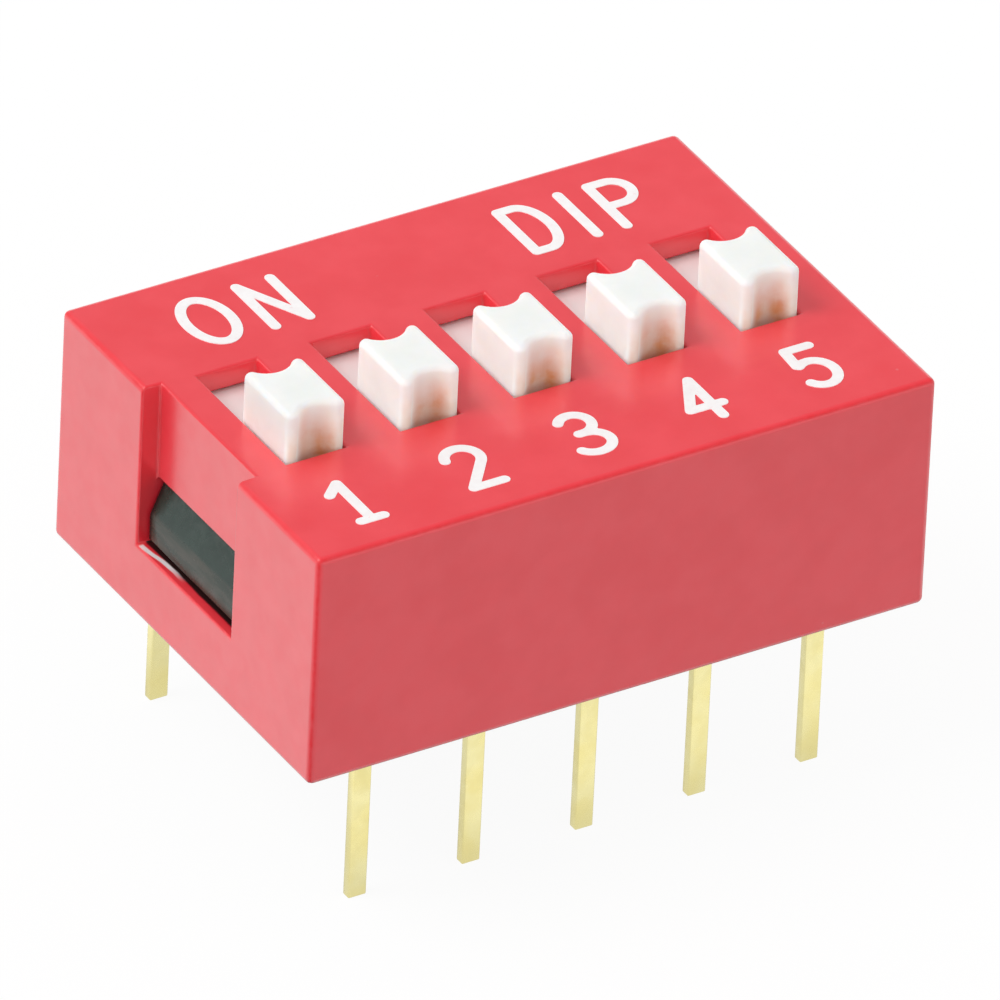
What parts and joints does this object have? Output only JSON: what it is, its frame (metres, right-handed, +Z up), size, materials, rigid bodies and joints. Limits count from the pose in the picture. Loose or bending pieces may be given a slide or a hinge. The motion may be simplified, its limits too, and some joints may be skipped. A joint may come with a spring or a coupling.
{
  "type": "dip switch",
  "caption": "Slide DIP switch with a red cover, white grooved sliders and two rows of flat through-hole pins, all sliders in the OFF position.",
  "frame": {"origin": "centre of the pin grid on the seating plane, which is the rim of the cover", "axes": "+Z up out of the board, +X from position 1 to the last position, +Y towards the ON side"},
  "size_m": [0.0138, 0.0098, 0.01],
  "materials": {
    "red_cover": "semi-gloss moulded",
    "black_base": "semi-gloss moulded",
    "white_slider": "satin moulded",
    "contact_spring": "gold plated",
    "gold_pin": "gold plated"
  },
  "bodies": {
    "housing": {"cover": "red_cover", "base": "black_base", "terminal_front_1": "gold_pin", "terminal_front_2": "gold_pin", "terminal_front_3": "gold_pin", "terminal_front_4": "gold_pin", "terminal_front_5": "gold_pin", "terminal_back_1": "gold_pin", "terminal_back_2": "gold_pin", "terminal_back_3": "gold_pin", "terminal_back_4": "gold_pin", "terminal_back_5": "gold_pin"},
    "slider_1": {"actuator_1": "white_slider", "contact_spring_1": "contact_spring"},
    "slider_2": {"actuator_2": "white_slider", "contact_spring_2": "contact_spring"},
    "slider_3": {"actuator_3": "white_slider", "contact_spring_3": "contact_spring"},
    "slider_4": {"actuator_4": "white_slider", "contact_spring_4": "contact_spring"},
    "slider_5": {"actuator_5": "white_slider", "contact_spring_5": "contact_spring"}
  },
  "joints": [
    {"name": "slide_1", "type": "slide", "parent": "housing", "child": "slider_1", "axis": [0, 1, 0], "range_m": [0, 0.00162]},
    {"name": "slide_2", "type": "slide", "parent": "housing", "child": "slider_2", "axis": [0, 1, 0], "range_m": [0, 0.00162]},
    {"name": "slide_3", "type": "slide", "parent": "housing", "child": "slider_3", "axis": [0, 1, 0], "range_m": [0, 0.00162]},
    {"name": "slide_4", "type": "slide", "parent": "housing", "child": "slider_4", "axis": [0, 1, 0], "range_m": [0, 0.00162]},
    {"name": "slide_5", "type": "slide", "parent": "housing", "child": "slider_5", "axis": [0, 1, 0], "range_m": [0, 0.00162]}
  ]
}
